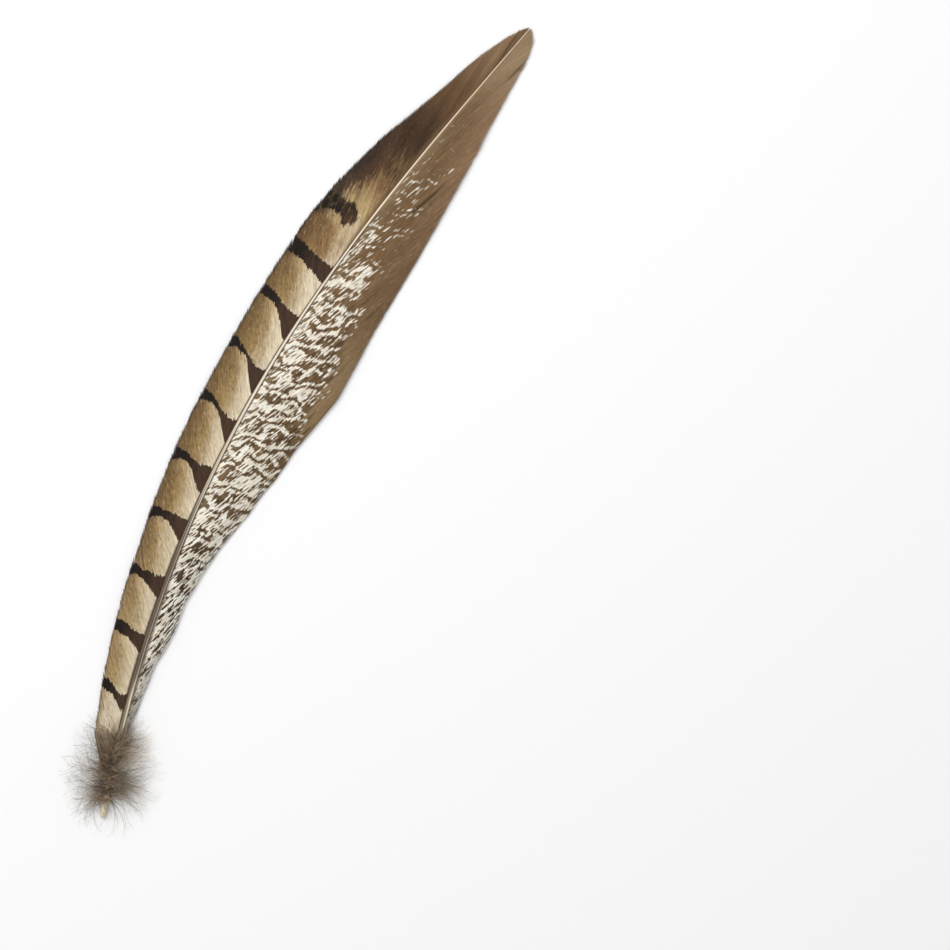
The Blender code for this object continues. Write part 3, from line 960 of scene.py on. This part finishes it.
def vane_finish(paint, base):
    """What both vanes share: barb lines of painted shade, uneven tone, a duller underside, and
    barbules.
    """
    mix, noise = paint.mix, paint.noise
    run, root, edge, chance, under, slit_shadow = paint.read("run", "root", "edge", "chance", "under", "slit_shadow")
    streak = noise(run / 4, root / 0.8, detail=2)
    speck = noise(run / 0.7, root / 0.7, 2, detail=1)
    tone = streak * 0.1 + speck * 0.035 + (chance - 0.5) * 0.22 + 1
    # Painted shade along each barb's edges, where overlapping barbs would shade each other
    shade_line = edge.rise(0.55, 1, 1, 0.8)
    base = paint.shade(base, tone * shade_line)
    # Painted shadow in the slits where barbs have parted
    base = mix(slit_shadow * 0.8, base, (52, 38, 28))
    base = mix(under * 0.45, base, (176, 158, 132))
    barbule = (run * 38 + edge * 3).sine()
    roughness = streak * 0.03 + 0.62
    paint.shader.inputs["Specular IOR Level"].default_value = VANE_SPECULAR
    return paint.finish(base, roughness, barbule)


def barred_paint():
    """Golden cells, cream beside the shaft, between dark bars; plain brown above the last one."""
    paint = Paint("barred_vane")
    mix, noise = paint.mix, paint.noise
    s, across, seam, run, root = paint.read("along", "across", "seam", "run", "root")
    chance, bar, cell = paint.read("chance", "bar", "cell")
    grain = noise(run / 2.4, root / 0.9, detail=3, roughness=0.6)
    soft = noise(run / 7, root / 4)
    fleck = noise(run / 1.6, root / 0.55, 3, detail=1)

    core = mix(s.rise(20, 100), (165, 141, 95), (154, 127, 82))
    core = mix(s.rise(158, 176), core, (140, 110, 73))
    side = mix(s.rise(20, 80), (162, 136, 98), (114, 90, 59))
    side = mix(s.rise(158, 174), side, (96, 72, 46))
    gold = mix((across + grain * 0.03).rise(0.4, 0.94), core, side)
    crown = cell.rise(0.62, 0.98) * across.rise(0.6, 0.88).flip()
    gold = mix(crown * 0.6, gold, (194, 170, 130))
    cream = mix(s.rise(50, 110), (212, 197, 169), (220, 205, 178))
    reach = s.rise(20, 90, 0.68, 0.52) - s.rise(168, 178) * 0.2
    pale = (across + soft * 0.05 + grain * 0.04 + chance * 0.05 - cell * 0.22).rise(-0.06, reach).flip()
    cream = mix(s.rise(168, 182) * 0.6, cream, (184, 156, 116))
    base = mix(pale, gold, cream)
    first = (s + grain * 0.6).rise(9, 18).flip() * (across + grain * 0.03).rise(0.72, 1).flip()
    base = mix(first * 0.85, base, (217, 203, 178))
    base = mix(fleck.rise(0.3, 1.8) * pale.flip() * 0.55, base, (92, 68, 40))
    base = mix(fleck.rise(-2.2, -0.9).flip() * 0.3, base, (214, 192, 150))
    base = mix(grain.rise(0.2, 1.8) * pale.flip() * 0.35, base, (176, 144, 88))

    dusk_s = s + grain + soft * 1.5
    blotch = noise(run / 3.6, root / 1.9, 7, detail=4, roughness=0.65)
    dark_share = blotch * 0.85 + s.rise(192, 210, -1.5, 0.5) + across.rise(0, 0.15, 0.6, 0)
    dark_share = dark_share + across.rise(0.34, 0.78, 0, 2.1)
    light = mix((s + soft * 1.5).rise(192, 204), (184, 158, 112), (146, 115, 78))
    blotched = mix(dark_share.rise(-1.8, 1.7), light, (76, 55, 39))
    upper = mix(dusk_s.rise(210, 220), blotched, (67, 49, 34))
    upper = mix(s.rise(222, 244), upper, (104, 77, 53))
    upper = mix(s.rise(241, 262), upper, (135, 108, 80))
    upper = mix(fleck.rise(0.9, 2.2) * 0.25, upper, (150, 122, 88))
    base = mix(dusk_s.rise(188, 191), base, upper)
    rim_dusk = (across + grain * 0.035).rise(0.66, 0.86)
    rim_dusk = rim_dusk * s.rise(181, 187) * s.rise(206, 222).flip()
    base = mix(rim_dusk * 0.8, base, (52, 42, 35))

    ragged = s.rise(178, 184, 0.1, 0.34)
    inside = (bar + grain * ragged + chance * 0.06).rise(ragged * -1.3, ragged * 1.3)
    outward = (across + soft * 0.06 + grain * 0.05).rise(0.15, 0.75)
    dark = mix(outward, (70, 51, 38), (32, 25, 21))
    last = s.rise(178, 184) * blotch.rise(-1.6, 0.2).flip() * 0.55
    dark = mix(last, dark, (124, 98, 64))
    base = mix(inside, base, dark)
    foot = (s + grain - chance * 2.5).rise(-3.5, 0.5).flip()
    fuzz = mix((grain + fleck * 0.5).rise(-1.2, 1.4), (92, 76, 61), (150, 132, 111))
    base = mix(foot, base, fuzz)
    # Painted shade on the vane beside the shaft below the last bar; above it the strip is a paler brown
    # band of its own
    seam_shade_and_band = mix(s.rise(172, 186), (64, 49, 38), (112, 88, 62))
    wide = s.rise(6, 20) * s.rise(64, 90).flip()
    seam_end = s.rise(172, 190, 0.46, 2.2) + wide * 0.35
    base = mix(seam.rise(wide * 0.2 + 0.16, seam_end).flip() * 0.88, base, seam_shade_and_band)
    # Dark line along the margin: painted shade where the margin curls down, partly its own darker edge
    base = mix((across + grain * 0.008).rise(0.91, 0.98) * 0.76, base, (48, 39, 32))
    return vane_finish(paint, base)


def mottled_paint():
    """Cream and brown vermiculation drawn out along the barbs; plain brown at the margin and tip."""
    paint = Paint("mottled_vane")
    mix, noise = paint.mix, paint.noise
    s, across, t, seam = paint.read("along", "across", "offset", "seam")
    run, root, chance, level = paint.read("run", "root", "chance", "level")
    drawn_run = run + chance * 0.7
    low, high = s.rise(48, 92).flip(), s.rise(145, 175)
    bend = noise(t / 5, s / 4.5, 1, detail=0)
    lean = low.rise(0, 1, 0.44, 0.6) + high * 0.2
    band = ((s - t * lean) * (2 * math.pi / 4.7) + bend * 1.4 + chance * 0.6).sine()
    band = band * high.rise(0, 1, 0.88, 0.54) * low.rise(0, 1, 1, 0.4)
    island = noise(drawn_run / 3.2, root / 2.2, 4, detail=1, roughness=0.4)
    island = island * low.rise(0, 1, 0.44, 0.18)
    dash = noise(drawn_run / 4.4, root / 1.45, 14, detail=1, roughness=0.4)
    dash = dash * (low.rise(0, 1, 0.5, 0.8) - high * 0.16)
    fine = noise(drawn_run / 2.2, root / 0.95, 5, detail=0)
    fine = fine * seam.rise(0.8, 3.5, 0.56, 0.44) * high.rise(0, 1, 1, 0.55)
    clump = noise((s + t) / 12, (s - t) / 6, 2.5, detail=0) * high * 0.3
    spots = band + island + dash + fine + clump
    edge = low.rise(0, 1, 0.24, 0.16)
    pale = (spots - level * high.rise(0, 1, 0.97, 1)).rise(edge * -1, edge)

    tone = noise(run / 4, root / 2, 12)
    brown = mix(tone.rise(-1.4, 1.4), (90, 70, 49), (134, 108, 77))
    brown = mix(low * 0.8, brown, (66, 50, 38))
    brown = mix(high * 0.5, brown, (142, 111, 77))
    brown = mix(seam.rise(1.2, 4.2).flip() * low.flip() * 0.5, brown, (150, 130, 100))
    plain = mix(s.rise(130, 175), (156, 130, 95), (128, 101, 73))
    plain = mix(s.rise(185, 240) * across.rise(0.2, 0.9), plain, (154, 122, 92))
    off = level.rise(0.8, 2)
    brown = mix(off, brown, plain)
    brown = mix(s.rise(236, 266), brown, (168, 143, 112))
    cream = mix(tone.rise(-1.4, 1.4), (246, 233, 209), (255, 252, 242))
    cream = mix(s.rise(0, 34).flip() * 0.6, cream, (214, 203, 178))
    base = mix(pale, brown, cream)
    shimmer = noise(run / 2.4, root / 0.5, 8, detail=1)
    base = mix(shimmer.rise(0.6, 2) * off * 0.5, base, (182, 156, 118))
    base = mix(shimmer.rise(-2, -0.7).flip() * off * 0.3, base, (92, 70, 48))
    # Painted shade on the vane beside the shaft from about 40 mm up; near the tip the strip turns a
    # paler brown
    seam_shade_and_band = mix(s.rise(184, 200), (68, 52, 40), (160, 132, 100))
    beside = seam.rise(0.45, 0.95).flip() * s.rise(4, 14) * s.rise(44, 64).flip()
    base = mix(beside * 0.8, base, (132, 118, 99))
    seamed = seam.rise(0.14, s.rise(184, 200, 0.44, 0.9)).flip() * s.rise(40, 66)
    base = mix(seamed * 0.8, base, seam_shade_and_band)
    # Dark line along the margin: painted shade where the margin curls down, partly its own darker edge
    base = mix(across.rise(0.955, 0.995) * 0.4, base, (66, 52, 40))
    return vane_finish(paint, base)


def shaft_paint():
    """Horn: grey-brown below, cream above; painted highlight lines, painted shade in groove and at
    sides.
    """
    paint = Paint("shaft_horn")
    mix, noise = paint.mix, paint.noise
    s, turn, top = paint.read("along", "turn", "top")
    drift = noise(s / 9, turn * 1.5)
    fine = noise(s / 0.9, turn * 5, 4)
    lean = turn + drift * 0.06
    left = mix(s.rise(50, 90), (126, 110, 89), (196, 179, 155))
    right = mix(s.rise(14, 26), (222, 209, 183), (160, 146, 127))
    right = mix(s.rise(60, 90), right, (222, 207, 185))
    # Painted highlight lines: right half paler along the lower shaft, both halves pale beside the
    # groove higher up
    body = mix(lean.rise(-0.1, 0.3), left, right)
    body = mix(s.rise(100, 125), body, (232, 217, 196))
    body = mix(s.rise(150, 200), body, (240, 222, 194))
    body = mix(s.rise(-9, 2), (222, 208, 178), body)
    # Painted shade: a dark line down the groove
    off_middle = lean + s.rise(80, 110, 0.16, 0)
    groove = (off_middle * off_middle).rise(0.04, 0.24).flip()
    groove = groove * s.rise(12, 24) * s.rise(70, 100).flip()
    body = mix(groove * 0.9, body, (78, 62, 46))
    # Painted shade along both sides of the shaft: dark on the lower shaft, tan on the upper
    side = (turn * turn).rise(0.26, 0.6) * s.rise(-4, 6) * s.rise(180, 200).flip()
    body = mix(side * 0.95, body, (68, 53, 40))
    body = mix(s.rise(185, 215) * (turn * turn).rise(0.2, 0.8) * 0.7, body, (176, 150, 120))
    body = mix(top.rise(-0.5, 0).flip(), body, (196, 178, 148))
    body = paint.shade(body, fine * 0.035 + drift * 0.03 + 1)
    roughness = fine * 0.04 + 0.38
    return paint.finish(body, roughness, fine)


def down_paint(name, near, far, tip):
    """Loose down: one colour at the root, paler or darker outwards, and no two strands alike."""
    paint = Paint(name)
    mix, noise = paint.mix, paint.noise
    out, tone = paint.read("out", "tone")
    base = mix(out.rise(0.12, 0.55), near, far)
    base = mix(out.rise(0.55, 1), base, tip)
    base = paint.shade(base, tone * tone * 1.4 + 0.45)
    paint.shader.inputs["Specular IOR Level"].default_value = DOWN_SPECULAR
    return paint.finish(base, noise(out * 9, tone * 30) * 0.05 + 0.75)


def make_camera():
    """Looks straight down, framed as the photograph is."""
    turn = math.radians(PHOTO_TURN)
    right = IMAGE_SIZE / 2 - PHOTO_ROOT[0]
    down = IMAGE_SIZE / 2 - PHOTO_ROOT[1]
    x = (right * math.cos(turn) + down * math.sin(turn)) * PIXEL + ROOT_X
    y = (right * math.sin(turn) - down * math.cos(turn)) * PIXEL + ROOT_Y
    data = bpy.data.cameras.new("camera")
    data.sensor_width = SENSOR
    data.lens = SENSOR * CAMERA_HEIGHT / (IMAGE_SIZE * PIXEL)
    camera = bpy.data.objects.new("camera", data)
    camera.location = (x, y, CAMERA_HEIGHT + SUBJECT_HEIGHT)
    camera.rotation_euler = (0.0, 0.0, turn)
    bpy.context.scene.collection.objects.link(camera)
    bpy.context.scene.camera = camera


def make_floor():
    """A plain pale floor."""
    corners = np.array([(-1, -1, 0), (1, -1, 0), (1, 1, 0), (-1, 1, 0)]) * FLOOR_SIZE
    floor = link_mesh("floor", corners, [(0, 1, 2, 3)])
    material = bpy.data.materials.new("floor")
    material.use_nodes = True
    shader = material.node_tree.nodes["Principled BSDF"]
    shader.inputs["Base Color"].default_value = (FLOOR_GREY, FLOOR_GREY, FLOOR_GREY, 1.0)
    shader.inputs["Roughness"].default_value = FLOOR_ROUGHNESS
    floor.data.materials.append(material)


def make_lights():
    """A pale surround, and one broad soft light from the photograph's upper left."""
    world = bpy.data.worlds.new("studio")
    world.use_nodes = True
    background = world.node_tree.nodes["Background"]
    background.inputs["Color"].default_value = (1.0, 1.0, 1.0, 1.0)
    background.inputs["Strength"].default_value = SURROUND
    bpy.context.scene.world = world
    data = bpy.data.lights.new("softbox", "AREA")
    data.shape = "SQUARE"
    data.size = LIGHT_SIZE
    data.energy = LIGHT_POWER
    light = bpy.data.objects.new("softbox", data)
    light.location = LIGHT_PLACE
    aim = -np.array(LIGHT_PLACE)
    tilt = math.acos(-aim[2] / np.linalg.norm(aim))
    light.rotation_euler = (tilt, 0.0, math.atan2(aim[1], aim[0]) - math.pi / 2)
    bpy.context.scene.collection.objects.link(light)
    bpy.context.scene.view_settings.view_transform = "Standard"


make_camera()
make_floor()
make_lights()

outer = Vane(-1, OUTER_MARGIN, OUTER_SLANT, OUTER_BOW, OUTER_SPLITS, OUTER_SLIT_SHADOWS, OUTER_SEED)
inner = Vane(1, INNER_MARGIN, INNER_SLANT, INNER_BOW, INNER_SPLITS, INNER_SLIT_SHADOWS, INNER_SEED)
pieces = (
    (make_shaft("rachis"), "shaft", "shaft_horn", shaft_paint()),
    (make_barbs("outer_barbs", outer, bar_marks), "outer_vane", "barred_vane", barred_paint()),
    (make_barbs("inner_barbs", inner, mottle_marks), "inner_vane", "mottled_vane", mottled_paint()),
    (make_down("outer_fluff", -1, OUTER_DOWN), "outer_down", "grey_brown_down",
     down_paint("grey_brown_down", *GREY_BROWN)),
    (make_down("inner_fluff", 1, INNER_DOWN), "inner_down", "pale_down",
     down_paint("pale_down", *WHITISH)),
)
for piece, node, slot, material in pieces:
    piece.data.materials.append(material)
    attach(piece, "root")
    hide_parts(node)
